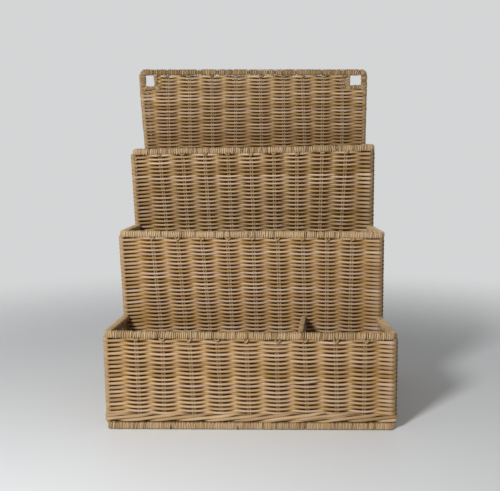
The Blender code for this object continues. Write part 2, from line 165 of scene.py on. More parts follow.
leaning = {
    "reach": (-0.6, 1.3),
    "front": {"heights": (0.0295, 0.0802),
              "low": (0.3, 0.6, -0.2, 1.0, 1.2, 1.7, 1.5, 2.2, 1.0, 0.4, 0.0),
              "high": (-0.4, -1.1, -0.7, -1.5, -1.2, -0.1, 0.4, -0.1, -0.4, 0.9, 0.0)},
    "second": {"heights": (0.120, 0.175),
               "low": (1.0, 4.7, 3.8, 3.4, 2.3, 1.7, 1.6, 1.4, 0.1, -1.0, 0.0),
               "high": (-1.1, 0.1, -0.4, -0.9, -0.4, -0.2, 0.1, -0.3, 0.0, -0.1, 0.0)},
    "third": {"heights": (0.215, 0.2685),
              "low": (0.2, 2.7, 2.4, 2.1, 1.5, 1.4, 0.8, 0.3, -0.2, -0.6, 0.5),
              "high": (-2.0, -1.5, -0.7, -0.9, -0.9, -0.5, 0.1, 0.5, 1.1, 2.5, 0.7)},
    "back": {"heights": (0.310, 0.355),
             "low": (0.9, -1.6, -1.1, -0.2, -0.7, 0.8, -1.1, 0.6, -1.1, 0.0, 0.0),
             "high": (-0.8, -1.8, -1.2, -0.4, 0.1, 0.1, -1.5, -1.3, -0.5, -0.2, 0.0)},
}


def leanAt(wall, index, z):
    lean = leaning[wall.name]
    below, above = lean["heights"]
    share = np.clip((z - below) / (above - below), *leaning["reach"])
    return (lean["low"][index] + (lean["high"][index] - lean["low"][index]) * share) / 1000


def stakeAt(wall, number, z):
    return np.array([wall.stakes[number] + leanAt(wall, number + 1, z), wall.y])


def stakesAt(wall, z):
    return [stakeAt(wall, number, z) for number in range(len(wall.stakes))]


def postAt(wall, side, z):
    post, index = (wall.leftPost, 0) if side == "left" else (wall.rightPost, -1)
    return np.array([post[0] + leanAt(wall, index, z), post[1]])


def sideStake(wall, following, side, y):
    near, far = ((wall.leftCorner, following.leftCorner) if side == "left"
                 else (wall.rightCorner, following.rightCorner))
    return near + (far - near) * (y - wall.y) / (following.y - wall.y)


# The rims aren't quite level: how far each one rises from its packed height, in millimetres, at
# six places from left to right. The weave below it follows, less and less on the way down.

settling = {
    "places": (-0.146, -0.080, -0.030, 0.020, 0.080, 0.146),
    "front": (1.3, 0.4, -0.1, -0.8, -0.8, -0.7),
    "second": (1.3, 0.4, 0.0, 0.2, -0.6, -1.0),
    "third": (-1.0, 0.2, 0.3, 0.6, 1.6, 3.2),
    "curve": 1.5,
}

# The back wall has its own shape: its edges lean outwards to the top, the left one more

flare = {"fromZ": 0.262, "toZ": 0.383, "left": 0.0034, "right": 0.0016, "fromX": 0.100, "toX": 0.1175,
         "over": 1.1, "tilt": 0.0010, "tiltHalf": 0.14, "rise": (1.7, 1.0, 0.5, 0.6, 0.5, 1.5),
         "riseCurve": 5}


def settle(points, wall):
    points = np.array(points, float)
    if wall.name not in settling:
        return points
    index = wallNames.index(wall.name)
    low = walls[index - 1].rimHigh if index else waleTop
    share = np.clip((points[:, 2] - low) / (wall.rimMiddle - low), 0, 1) ** settling["curve"]
    points[:, 2] += np.interp(points[:, 0], settling["places"], settling[wall.name]) / 1000 * share
    return points


def leanOut(points):
    points = np.array(points, float)
    up = np.clip((points[:, 2] - flare["fromZ"]) / (flare["toZ"] - flare["fromZ"]), 0, flare["over"])
    out = easeInOut(np.clip((np.abs(points[:, 0]) - flare["fromX"]) / (flare["toX"] - flare["fromX"]), 0, 1))
    reach = np.where(points[:, 0] < 0, -flare["left"], flare["right"])
    points[:, 2] -= flare["tilt"] * points[:, 0] / flare["tiltHalf"] * up ** 3
    rise = np.interp(points[:, 0], settling["places"], flare["rise"]) / 1000
    points[:, 2] += rise * np.clip(up, 0, 1) ** flare["riseCurve"]
    points[:, 0] += reach * up * out
    return points


def moved(strands, move, *wall):
    # the strands, settled or leaned
    for strand in strands:
        strand["points"] = move(strand["points"], *wall)
    return strands


# Curves to meshes

scratch = bpy.data.collections.new("scratch")
bpy.context.scene.collection.children.link(scratch)

# Shade is painted on the faces that look into the weave, and behind the floats also on top

hollowShading = {"onTop": 0.35, "from": 0.10, "over": 0.50}


def curveMesh(name, strands, cyclic, bevelSteps, profile):
    # strands hold points and radius; the mesh keeps their order, ring by ring
    data = bpy.data.curves.new(name, "CURVE")
    data.dimensions = "3D"
    data.twist_mode = "MINIMUM"
    data.fill_mode = "FULL"
    if profile:
        data.bevel_mode = "OBJECT"
        data.bevel_object = profile
    else:
        data.bevel_depth = 1.0
        data.bevel_resolution = bevelSteps
    for strand in strands:
        number = len(strand["points"])
        spline = data.splines.new("POLY")
        spline.points.add(number - 1)
        places = np.ones((number, 4), np.float32)
        places[:, :3] = strand["points"]
        spline.points.foreach_set("co", places.ravel())
        for key in ("radius", "tilt"):
            values = np.broadcast_to(strand.get(key, 0), number).astype(np.float32)
            spline.points.foreach_set(key, values)
        spline.use_cyclic_u = cyclic
    holder = bpy.data.objects.new(name + "Curve", data)
    scratch.objects.link(holder)
    bpy.context.view_layer.update()
    evaluated = holder.evaluated_get(bpy.context.evaluated_depsgraph_get())
    mesh = bpy.data.meshes.new_from_object(evaluated)
    bpy.data.objects.remove(holder)
    bpy.data.curves.remove(data)
    mesh.name = name
    return mesh


def closeEnds(mesh):
    bm = bmesh.new()
    bm.from_mesh(mesh)
    rims = [edge for edge in bm.edges if edge.is_boundary]
    if rims:
        bmesh.ops.holes_fill(bm, edges=rims, sides=0)
    bm.to_mesh(mesh)
    bm.free()


def gathered(strands, key, width=()):
    # one value for each point of all strands
    return np.concatenate([np.broadcast_to(strand.get(key, 0), (len(strand["points"]), *width))
                           for strand in strands])


def strandPiece(name, strands, material, nodes, cyclic=False, bevelSteps=cane["bevelSteps"],
                profile=None):
    # one visible piece from many strands, with what the grain and the painted shade need stored on its
    # points
    mesh = curveMesh(name, strands, cyclic, bevelSteps, profile)
    along = np.concatenate([runOf(strand["points"]) + random.uniform(0, 40) for strand in strands])
    ring = np.repeat(np.arange(len(along)), len(mesh.vertices) // len(along))
    co = np.empty(len(mesh.vertices) * 3, np.float32)
    mesh.vertices.foreach_get("co", co)
    offset = co.reshape(-1, 3) - gathered(strands, "points", (3,))[ring]
    offset /= np.maximum(np.linalg.norm(offset, axis=1, keepdims=True), 1e-9)
    sideways = (offset[:, :2] * gathered(strands, "facing", (2,))[ring]).sum(1)
    depth = gathered(strands, "depth")[ring]
    hidden = -depth * (sideways + hollowShading["onTop"] * (depth < 0)) - hollowShading["from"]
    hidden = np.clip(hidden / hollowShading["over"], 0, 1)
    hidden = np.clip(hidden + gathered(strands, "hollowShade")[ring], 0, 1)
    tone, hue, paintedShade = [gathered(strands, key)[ring] for key in ("tone", "hue", "paintedShade")]
    closeEnds(mesh)
    for layer, kind, key, values in (
        ("grain", "FLOAT_VECTOR", "vector", np.column_stack([along[ring], sideways, offset[:, 2]])),
        ("finish", "FLOAT_VECTOR", "vector", np.column_stack([tone, hue, hidden])),
        ("paintedShade", "FLOAT", "value", paintedShade),
    ):
        attribute = mesh.attributes.new(layer, kind, "POINT")
        attribute.data.foreach_set(key, values.astype(np.float32).ravel())
    mesh.shade_smooth()
    mesh.materials.append(material)
    piece = bpy.data.objects.new(name, mesh)
    bpy.context.scene.collection.objects.link(piece)
    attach(piece, "root")
    if nodes:
        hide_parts(*nodes)
    print(f"{name}: {len(strands)} strands, {sum(len(p.vertices) - 2 for p in mesh.polygons)} triangles")


def strandTone(count, spread):
    # a strand's own shade and a slow drift along it
    drift = np.cumsum(random.normal(0, cane["toneDrift"], count))
    drift -= drift.mean()
    most = cane["toneDriftMost"]
    return np.clip(0.5 + random.normal(0, spread) + np.clip(drift, -most, most), 0, 1)


# Materials

grain = {
    "fibreStretch": (60, 2.6, 2.6),    # long fibres: quick across the cane, slow along it
    "fibreDetail": 3,
    "fibreRoughness": 0.6,
    "fibreShare": 0.55,
    "fibreScale": {"binding": 0.8},    # 1 for the other canes
    "patchStretch": (38, 0.25, 0.25),  # slow change of shade along the cane
    "patchDetail": 2,
    "patchShare": 0.7,
    "roughness": (0.40, 0.62),
    "bump": 0.25,
    "bumpHeight": 0.0003,
    "gloss": 0.12,
    "rodGloss": 0.2,
    "rodScale": 400,
}

warm = (0.98, 0.93, 0.66, 1)           # tint of the warmer canes, also painted warm bounce light where they pass behind
deep = (0.240, 0.095, 0.002, 1)        # painted shade between them
caneColours = {                        # light and dark of each cane, and its painted shade in the hollows
    "weaver": ((0.528, 0.386, 0.292, 1), (0.322, 0.197, 0.091, 1), deep),
    "upper": ((0.580, 0.434, 0.312, 1), (0.29, 0.175, 0.085, 1), (0.120, 0.046, 0.001, 1)),
    "binding": ((0.47, 0.335, 0.205, 1), (0.23, 0.145, 0.07, 1), deep),
    "wale": ((0.55, 0.395, 0.25, 1), (0.30, 0.19, 0.095, 1), (0.270, 0.165, 0.075, 1)),
    "stake": ((0.47, 0.335, 0.20, 1), (0.28, 0.18, 0.09, 1), deep),
    "post": ((0.42, 0.30, 0.18, 1), (0.25, 0.16, 0.08, 1), deep),
    "rod": ((0.30, 0.20, 0.10, 1), (0.18, 0.10, 0.04, 1), deep),
}


def addNode(tree, kind, place, inputs=None, **settings):
    # inputs holds values, or the sockets of other nodes that feed them
    node = tree.nodes.new(kind if kind.startswith("NodeGroup") else "ShaderNode" + kind)
    node.location = place
    for key, value in settings.items():
        setattr(node, key, value)
    for key, value in (inputs or {}).items():
        if isinstance(value, bpy.types.NodeSocket):
            tree.links.new(value, node.inputs[key])
        else:
            node.inputs[key].default_value = value
    return node


def noiseNodes(tree, y, vector, stretch, inputs):
    stretched = addNode(tree, "VectorMath", (-950, y), {0: vector, 1: stretch}, operation="MULTIPLY")
    return addNode(tree, "TexNoise", (-750, y), {"Vector": stretched.outputs[0], **inputs}).outputs["Fac"]


def mixNode(tree, place, factor, first, second, **settings):
    inputs = {"Factor": factor, "A": first, "B": second}
    return addNode(tree, "Mix", place, inputs, data_type="RGBA", **settings).outputs["Result"]


def mathNode(tree, place, operation, *values, **settings):
    return addNode(tree, "Math", place, dict(enumerate(values)), operation=operation, **settings).outputs[0]


def grainGroup():
    # colour, roughness and height of a cane, from its run, its turn and its own tone, with painted shade in
    # its hollows and at the corners
    tree = bpy.data.node_groups.new("caneGrain", "ShaderNodeTree")
    sockets = {"Grain": "Vector", "Light": "Color", "Dark": "Color", "Warm": "Color", "Hollow": "Color",
               "Tone": 0.5, "Hue": 0.5, "Hollow Shade": 0.0, "Painted Shade": 0.0, "Fibre Scale": 1.0}
    for name, value in sockets.items():
        kind = value if isinstance(value, str) else "Float"
        socket = tree.interface.new_socket(name, in_out="INPUT", socket_type="NodeSocket" + kind)
        if kind == "Float":
            socket.default_value = value
    for name, kind in (("Color", "Color"), ("Roughness", "Float"), ("Height", "Float")):
        tree.interface.new_socket(name, in_out="OUTPUT", socket_type="NodeSocket" + kind)
    given = addNode(tree, "NodeGroupInput", (-1200, 0)).outputs

    fibre = noiseNodes(tree, 200, given["Grain"], grain["fibreStretch"],
                       {"Scale": given["Fibre Scale"], "Detail": grain["fibreDetail"],
                        "Roughness": grain["fibreRoughness"]})
    patches = noiseNodes(tree, -50, given["Grain"], grain["patchStretch"],
                         {"Scale": 1, "Detail": grain["patchDetail"]})
    shares = [mathNode(tree, (-500, y), "MULTIPLY_ADD", noise, grain[key], -grain[key] / 2)
              for y, noise, key in ((200, fibre, "fibreShare"), (0, patches, "patchShare"))]
    together = mathNode(tree, (-300, 100), "ADD", *shares)
    shade = mathNode(tree, (-120, 100), "ADD", together, given["Tone"], use_clamp=True)

    body = mixNode(tree, (80, 100), shade, given["Dark"], given["Light"])
    tint = mixNode(tree, (180, -150), 1, body, given["Warm"], blend_type="MULTIPLY")
    warmed = mixNode(tree, (280, 100), given["Hue"], body, tint)
    # painted shade: toward the hollow colour in the hollows of the weave, and toward black at the right
    # corners, the right posts and the foot
    shadedHollows = mixNode(tree, (480, 50), given["Hollow Shade"], warmed, given["Hollow"])
    darkened = mixNode(tree, (680, 50), given["Painted Shade"], shadedHollows, (0, 0, 0, 1))
    smooth, rough = grain["roughness"]
    roughness = mathNode(tree, (480, -150), "MULTIPLY_ADD", fibre, rough - smooth, smooth)
    addNode(tree, "NodeGroupOutput", (900, 0), {"Color": darkened, "Roughness": roughness, "Height": fibre})
    return tree


caneGrain = grainGroup()


def caneMaterial(name):
    material = bpy.data.materials.new(name + "Cane")
    material.use_nodes = True
    tree = material.node_tree
    light, dark, hollow = caneColours[name]
    inputs = {"Light": light, "Dark": dark, "Warm": warm, "Hollow": hollow,
              "Fibre Scale": grain["fibreScale"].get(name, 1)}
    if name == "rod":
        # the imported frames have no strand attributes, so their grain runs on Object Z
        place = addNode(tree, "TexCoord", (-1100, 200)).outputs["Object"]
        scale = (1, grain["rodScale"], grain["rodScale"])
        turned = addNode(tree, "Mapping", (-900, 200),
                         {"Vector": place, "Rotation": (0, math.pi / 2, 0), "Scale": scale})
        inputs |= {"Grain": turned.outputs["Vector"], "Tone": 0.6, "Hue": 0.4}
    else:
        layers = {layer: addNode(tree, "Attribute", (-900, y), attribute_name=layer).outputs
                  for layer, y in (("grain", 200), ("finish", -50), ("paintedShade", -250))}
        split = addNode(tree, "SeparateXYZ", (-700, -50), {0: layers["finish"]["Vector"]}).outputs
        inputs |= {"Grain": layers["grain"]["Vector"], "Tone": split["X"], "Hue": split["Y"],
                   "Hollow Shade": split["Z"], "Painted Shade": layers["paintedShade"]["Fac"]}
    look = addNode(tree, "Group", (-450, 100), inputs, node_tree=caneGrain).outputs
    shader = tree.nodes["Principled BSDF"].inputs
    shader["Specular IOR Level"].default_value = grain["rodGloss" if name == "rod" else "gloss"]
    tree.links.new(look["Color"], shader["Base Color"])
    tree.links.new(look["Roughness"], shader["Roughness"])
    if name != "rod":
        relief = addNode(tree, "Bump", (-200, -150), {"Strength": grain["bump"], "Height": look["Height"],
                                                      "Distance": grain["bumpHeight"]})
        tree.links.new(relief.outputs["Normal"], shader["Normal"])
    return material


weaverCane, upperCane, bindingCane, waleCane, stakeCane, postCane, rodCane = map(caneMaterial, caneColours)
print("materials ready")

# Weaving

wale = {"diameter": 0.0036, "lowZ": 0.0090, "highZ": 0.0160, "standsOver": 0.0022,
        "proudOfPosts": 0.0008, "wander": 0.00030, "pinch": 0.13, "sampleStep": 0.0035,
        "startAt": 7, "startDip": 0.0034, "startLength": 0.9, "endFrom": 1.5, "endLength": 2,
        # the warmer hue behind the uprights is painted warm bounce light
        "endRise": 0.0022, "endProud": 0.0016, "toneSpread": 0.1, "hue": 0.2, "bounceTintBehind": 0.3,
        "straight": 0.9}           # uprights where the way turns more than this are corner posts

weaving = {
    "rowPitch": {"front": 0.00222, "second": 0.00213, "third": 0.00230, "back": 0.00212},
    "intoRim": {"front": 0.0006, "second": 0.0006, "third": 0.0006, "back": 0.0007},
    "girth": {"front": 1.0, "second": 0.99, "third": 0.97, "back": 0.97},
    "swellBetween": 0.14,         # weavers spread where they cross between two uprights
    "slowSwell": 0.03,
    "riseAfterFloat": 0.00066,    # they climb there, late after a float
    "riseAfterDip": 0.00044,      # and less and earlier after a dip behind an upright
    "crestAfterFloat": 0.58,
    "crestAfterDip": 0.46,
    "flatness": 1.45,             # above 1 the floats are flatter and the crests sharper
    "pairing": {"front": 0.00022, "second": 0.00016, "third": 0.00016, "back": 0.00050},
    "pairingAt": 0.20,            # next to the posts the rows draw together in pairs
    "pairingWidth": 0.11,
    "pairingThins": 0.14,
    "rightPairing": {"front": 0.5, "second": 0.5, "third": 0.5, "back": 0.95},
    "pocketShade": {"front": (0.0, 0.0, 1.0), "second": (0.0, 0.20, 2.5), "third": (0.04, 0.24, 1.0),
                "back": (0.0, 0.34, 1.2)},      # painted shade: loss of tone at the rim, low down, and its curve
    "pocketShadeTone": 0.55,
    "pocketShadeHollow": 0.9,
    "floatsLessShaded": 0.9,           # the floats get less of that painted shade
    "footRowUnshaded": 0.85,            # and the lowest row in front gets none of the painted hollow shade
    "sag": {"front": 0.0006, "second": 0.0022, "third": 0.0014, "back": 0.0006},
    "heightJitter": 0.00008,
    "reachJitter": 0.00012,
    "thicknessSpread": 0.035,
    "pressedAtPosts": 1.36,       # weavers lie flatter and wider where they turn a post
    "proudOfPosts": 0.0005,       # and stand this much proud of it
    "hue": (-0.15, 0.65),
    # the warmer hue behind the uprights is painted warm bounce light
    "bounceTintBehind": 0.55,
}

# Shade is painted on the corners: both are darker, and at the right ones, turned from the light, the weavers
# are painted dark round the post, and they close up before it. Widths are in shares of the way from one
# upright to the next.

corners = {
    "width": 0.30,
    "leftShade": 0.35,
    "rightShade": 0.75,
    "rightHollowShade": 0.15,
    "toneFrom": 0.14,
    "paintedShade": 0.80,
    "paintedShadeFrom": 0.17,
    "paintedShadeWidth": 0.12,
    "swell": 0.38,
    "swellAt": 0.20,
    "swellWidth": 0.09,
    "thins": 0.05,
    "thinsAt": 0.48,
    "thinsWidth": 0.14,
    "rightShadeAndSwell": {"front": 1.0, "second": 1.0, "third": 1.0, "back": 0.30},
}

# Where one weaver of the front wall ends and the next begins, a tapered end lies over the gap

splice = {"stake": 6, "z": 0.0507, "reach": 0.0150, "rise": 0.0026, "thins": 0.50, "thinsWidth": 0.42,
          "points": 15, "proud": 0.0012, "tuck": 0.0024, "droop": 0.0003, "girth": 1.02, "taper": 0.8,
          "tone": 0.20, "hue": 0.2}

# How a weaver goes round a post: count shares before and after it, and the way round its inside

turning = {"outerStep": 0.08, "innerStep": 0.12, "innerReach": 1.5, "innerDepth": 1.25, "endTuck": 0.8}

stakeReach = (cane["stakeDiameter"] + cane["weaverDiameter"]) / 2
postReach = (cane["postDiameter"] + cane["weaverDiameter"]) / 2 - cane["intoPosts"]
pressedIn = ((weaving["pressedAtPosts"] + 1) * cane["weaverDiameter"] / 2
             - weaving["proudOfPosts"] - cane["intoPosts"])
rowLift = (weaving["riseAfterFloat"] + weaving["riseAfterDip"]) / 4


def runThrough(knots, step):
    # a smooth line in plan through the knots; returns places, upright count, depth, facing, girth
    parts = []
    for first, last in zip(knots, knots[1:]):
        start, end = first["at"], last["at"]
        chord = np.linalg.norm(end - start)
        number = max(2, int(round(chord / step)))
        share = (np.arange(number) / number)[:, None]
        smooth = easeInOut(share)
        swell = 0
        if chord > cane["stakeDiameter"] * 4:
            # between two uprights: straight along the wall, and across it near the middle
            face = unit(first["face"] + last["face"])
            across = ((end - start) @ face) * face
            places = start + (end - start - across) * share + across * smooth
            swell = weaving["swellBetween"] * np.sin(np.pi * share) ** 2
        else:
            rise = share * (1 - share) ** 2 * chord
            fall = share ** 2 * (share - 1) * chord
            places = start * (1 - smooth) + end * smooth + first["way"] * rise + last["way"] * fall
        counts = first["count"] + (last["count"] - first["count"]) * share
        depths = first["depth"] + (last["depth"] - first["depth"]) * smooth
        girths = first["girth"] + (last["girth"] - first["girth"]) * smooth + swell
        turned = first["face"] * (1 - share) + last["face"] * share
        turned /= np.linalg.norm(turned, axis=1, keepdims=True)
        parts.append(np.column_stack([places, counts, depths, turned, girths]))
    final = knots[-1]
    parts.append([[*final["at"], final["count"], final["depth"], *final["face"], final["girth"]]])
    table = np.concatenate(parts)
    return table[:, :2], table[:, 2], table[:, 3], table[:, 4:6], table[:, 6]


def knot(at, way, count, depth, face, girth=1.0):
    return {"at": np.asarray(at, float), "way": unit(way), "count": float(count),
            "depth": float(depth), "face": unit(face), "girth": girth}


def passStake(at, way, count, side, reach=stakeReach):
    face = outward(way)
    return knot(at + side * reach * face, way, count, side, face)


def passStakes(places, way, first, side):
    # in front of one stake and behind the next; side is 1 for a count of 0 in front
    return [passStake(at, way, count, side * (-1) ** count) for count, at in enumerate(places, first)]


def turnPost(post, before, after, count, side, reach=postReach, press=None):
    # a weaver goes round a corner post, outside it or inside it
    faceBefore, faceAfter = outward(before), outward(after)
    across = unit(faceBefore + faceAfter)
    ahead = unit(before + after)
    if side > 0:
        step = turning["outerStep"]
        girth = weaving["pressedAtPosts"] if press is None else 1
        reach -= pressedIn if press is None else press
        return [knot(post + reach * faceBefore, before, count - step, 1, faceBefore, girth),
                knot(post + reach * across, ahead, count, 1, across, girth),
                knot(post + reach * faceAfter, after, count + step, 1, faceAfter, girth)]
    step = turning["innerStep"]
    back = turning["innerReach"] * reach
    return [knot(post - reach * faceBefore - back * before, before, count - step, -1, faceBefore),
            knot(post - turning["innerDepth"] * reach * across, ahead, count, -1, across),
            knot(post - reach * faceAfter + back * after, after, count + step, -1, faceAfter)]


def wrapEnd(post, way, count, side, atStart, reach=postReach):
    # a weaver that ends at a post turns half round it
    face = outward(way)
    outer = way * (-1 if atStart else 1)
    girth = weaving["pressedAtPosts"]
    full, reach = reach, reach - pressedIn
    near = knot(post + side * (reach if side > 0 else full) * face, way, count, side, face, girth)
    turn = knot(post + reach * outer, side * face if atStart else -side * face, count, 0, outer, girth)
    far = knot(post - side * reach * turning["endTuck"] * face, -way, count, 0, face)
    return [far, turn, near] if atStart else [near, turn, far]


def tuckEnd(post, way, count, side):
    # a weaver stops short of the next wall's post
    return [knot(post + side * way * postReach, way, count, 0, outward(way))]


def rowWave(count, evenSide):
    # height added between the uprights: a trough at each of them, a crest between
    whole = np.floor(count)
    share = count - whole
    inFront = (whole % 2 == 0) == (evenSide > 0)
    after = np.where(inFront, weaving["riseAfterFloat"], weaving["riseAfterDip"])
    crest = np.where(inFront, weaving["crestAfterFloat"], weaving["crestAfterDip"])
    up = (1 - np.cos(np.pi * np.clip(share / crest, 0, 1))) / 2
    down = (1 + np.cos(np.pi * np.clip((share - crest) / (1 - crest), 0, 1))) / 2
    return after * np.where(share < crest, up, down) ** weaving["flatness"]


def bell(distance, width):
    return np.exp(-(distance / width) ** 2)


def besidePosts(wall, counts):
    # 1 just inside the left post of a cross wall, less at the right one, 0 elsewhere
    last = len(wall.stakes) + 1
    left = bell(counts - weaving["pairingAt"], weaving["pairingWidth"])
    right = bell(last - counts - weaving["pairingAt"], weaving["pairingWidth"])
    return left + weaving["rightPairing"][wall.name] * right


def pocketShadeAt(wall, z):
    # painted shade: the canes are darker low down, behind the pocket in front
    index = wallNames.index(wall.name)
    low = walls[index - 1].rimHigh if index else standLevel
    share = np.clip((wall.rimLow - z) / (wall.rimLow - low), 0, 1)
    atRim, below, curve = weaving["pocketShade"][wall.name]
    return atRim + (below - atRim) * share ** curve


def archOf(wall, count, height):
    # rows sag towards the corners, most at half height
    low = waleTop + wale["standsOver"]
    share = np.clip((height - low) / (wall.rimLow - low), 0, 1)
    middle = (len(wall.stakes) + 1) / 2
    aside = np.clip(np.abs(count - middle) / middle, 0, 1)
    return -weaving["sag"][wall.name] * 4 * share * (1 - share) * aside ** 3


def weaverStrand(wall, knots, height, evenSide, lift=rowLift):
    for item in knots[1:-1]:
        item["at"] = item["at"] + item["face"] * random.normal(0, weaving["reachJitter"])
    places, counts, depths, facings, girths = runThrough(knots, cane["sampleStep"])
    wobble = np.interp(counts, np.arange(-5, 20), random.normal(0, weaving["heightJitter"], 25))
    z = height + rowWave(counts, evenSide) - lift + wobble + archOf(wall, counts, height)
    beside = besidePosts(wall, counts)
    z += evenSide * weaving["pairing"][wall.name] * beside
    points = np.column_stack([places, z])

    radius = cane["weaverDiameter"] / 2 * weaving["girth"][wall.name]
    radius *= 1 + random.normal(0, weaving["thicknessSpread"])
    swell = 1 + weaving["slowSwell"] * np.sin(counts * random.uniform(0.5, 1.5) + random.uniform(0, 6))
    swell *= 1 - weaving["pairingThins"] * beside
    nearSplice = abs(height - splice["z"]) < weaving["rowPitch"]["front"]
    if wall.name == "front" and evenSide < 0 and nearSplice:
        swell *= 1 - splice["thins"] * np.exp(-((counts - splice["stake"] - 1) / splice["thinsWidth"]) ** 4)
    toRight = len(wall.stakes) + 1 - counts
    rightWeight = corners["rightShadeAndSwell"][wall.name]
    swell *= 1 + rightWeight * (corners["swell"] * bell(toRight - corners["swellAt"], corners["swellWidth"])
                         - corners["thins"] * bell(toRight - corners["thinsAt"], corners["thinsWidth"]))

    # painted shade: the canes are darker low down behind the pocket in front, and at the corners
    pocketShade = pocketShadeAt(wall, z)
    leftShadeMask = bell(counts, corners["width"])
    rightShadeMask = bell(toRight, corners["width"]) * np.clip(1 - toRight / corners["toneFrom"], 0, 1)
    paintedShade = (np.clip(1 - toRight / corners["paintedShadeFrom"], 0, 1)
            * bell(np.clip(-toRight, 0, None), corners["paintedShadeWidth"]))
    tone = strandTone(len(points), cane["toneSpread"]) - weaving["pocketShadeTone"] * pocketShade
    tone -= corners["leftShade"] * leftShadeMask + rightWeight * corners["rightShade"] * rightShadeMask
    behind = 1 - np.clip(depths, 0, 1)
    hollowShade = weaving["pocketShadeHollow"] * pocketShade * (1 - weaving["floatsLessShaded"] * np.clip(depths, 0, 1))
    hollowShade = hollowShade + rightWeight * corners["rightHollowShade"] * rightShadeMask
    if wall.name == "front":
        low = height < waleTop + wale["standsOver"] + weaving["rowPitch"]["front"]
        hollowShade = hollowShade - weaving["footRowUnshaded"] * low
    # warmer where the weaver passes behind: painted warm bounce light
    hue = np.clip(random.uniform(*weaving["hue"]) + weaving["bounceTintBehind"] * behind, 0, 1)
    return {"points": points, "radius": radius * swell * girths, "facing": facings, "depth": depths,
            "tone": tone, "hue": hue, "hollowShade": hollowShade, "paintedShade": rightWeight * corners["paintedShade"] * paintedShade}


def rows(low, high, pitch):
    # the height of each row, and the side of it that alternates
    number = int(round((high - low) / pitch))
    return [(low + (row + 0.5) * (high - low) / number, 1 - 2 * (row % 2)) for row in range(number)]


def pocketRow(wall, following, height, even):
    # one weaver: from the following wall along the left side, across and back along the right side
    left, farLeft = postAt(wall, "left", height), postAt(following, "left", height)
    right, farRight = postAt(wall, "right", height), postAt(following, "right", height)
    toFront, toBack = unit(left - farLeft), unit(farRight - right)
    onLeft = [sideStake(wall, following, "left", y) for y in reversed(wall.sideStakes)]
    onRight = [sideStake(wall, following, "right", y) for y in wall.sideStakes]
    last = len(wall.stakes) + 1
    return (tuckEnd(farLeft, toFront, -3, 1)
            + passStakes(onLeft, toFront, -len(onLeft), even)
            + turnPost(left, toFront, rightward, 0, even)
            + passStakes(stakesAt(wall, height), rightward, 1, even)
            + turnPost(right, rightward, toBack, last, even * (-1) ** last)
            + passStakes(onRight, toBack, last + 1, even)
            + tuckEnd(farRight, toBack, last + 3, -1))


def crossRow(wall, height, even, leftEnd, rightEnd, leftReach=postReach, rightReach=postReach):
    last = len(wall.stakes) + 1
    knots = (wrapEnd(leftEnd, rightward, 0, even, True, leftReach)
             + passStakes(stakesAt(wall, height), rightward, 1, even)
             + wrapEnd(rightEnd, rightward, last, even * (-1) ** last, False, rightReach))
    return weaverStrand(wall, knots, height, even)


def pocketWall(wall, following):
    # a cross wall and the sides that run back from it to the following wall
    bottom = waleTop + wale["standsOver"]
    pitch = weaving["rowPitch"][wall.name]
    strands = [weaverStrand(wall, pocketRow(wall, following, height, even), height, even)
               for height, even in rows(bottom, wall.rimLow + weaving["intoRim"][wall.name], pitch)]
    # below the wale the inner walls go on down between their posts
    if wall.name != "front":
        strands += [crossRow(wall, height, even, wall.leftPost, wall.rightPost)
                    for height, even in rows(standLevel, bottom, pitch)]
    return moved(strands, settle, wall)


def spliceStrand(wall):
    share = np.linspace(-1, 1, splice["points"])
    middle = stakeAt(wall, splice["stake"], splice["z"])
    out = stakeReach + splice["proud"] - splice["tuck"] * np.abs(share) ** 3
    height = splice["z"] + splice["rise"] * share / 2 + splice["droop"] * np.abs(share)
    points = np.column_stack([middle[0] + splice["reach"] * share, middle[1] - out, height])
    radius = cane["weaverDiameter"] / 2 * (splice["girth"] - splice["taper"] * np.abs(share) ** 3)
    return {"points": points, "radius": radius, "tone": strandTone(len(points), 0.05) + splice["tone"],
            "hue": splice["hue"]}


for wall, following, pocket in zip(walls, walls[1:], pocketNames):
    strands = pocketWall(wall, following) + ([spliceStrand(wall)] if wall.name == "front" else [])
    strandPiece(f"{wall.name}_wall_and_sides", strands, upperCane if wall.name == "third" else weaverCane,
                [f"{wall.name}_wall_weave", f"{pocket}_left_side_weave", f"{pocket}_right_side_weave"])

# Back wall, which leaves its top corners open

eyes = {
    "barReach": 0.0024,
    "left": {"sillLow": 0.3626, "sillHigh": 0.3672, "sillFrom": -0.1375, "sillTo": -0.1165,
             "barShift": -0.0032},
    "right": {"sillLow": 0.3622, "sillHigh": 0.3680, "sillFrom": 0.1150, "sillTo": 0.1375,
              "barShift": -0.0008},
    "overSill": 0.0002,
    "barBelow": 0.003,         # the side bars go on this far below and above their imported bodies
    "barAbove": 0.002,
}


def backWall(wall):
    strands = []
    top = wall.rimLow + weaving["intoRim"]["back"]
    for height, even in rows(waleTop + wale["standsOver"], top, weaving["rowPitch"]["back"]):
        ends = {side: postAt(wall, side, height) for side in ("left", "right")}
        reaches = dict.fromkeys(ends, postReach)
        for side in ends:
            if height > eyes[side]["sillLow"] + eyes["overSill"]:
                # beside an eye the row ends at its side bar
                ends[side] = nodeCentre(f"{side}_eye_side_bar")[:2] + (eyes[side]["barShift"], 0)
                reaches[side] = eyes["barReach"]
        strands.append(crossRow(wall, height, even, *ends.values(), *reaches.values()))
    return moved(strands, leanOut)


strandPiece("back_wall", backWall(walls[3]), upperCane, ["back_wall_weave"])

# Posts, stakes in pairs, and the core rods of the rims

posts = {"overRim": 0.002, "points": 24, "tone": 0.6, "paintedShade": 0.45}
rods = {"radius": 0.0010, "apart": 0.00125, "coreRadius": 0.0022, "points": 16, "toneSpread": 0.12,
        "tone": {"front": 0.50, "second": 0.45, "third": 0.25, "back": 0.15}}


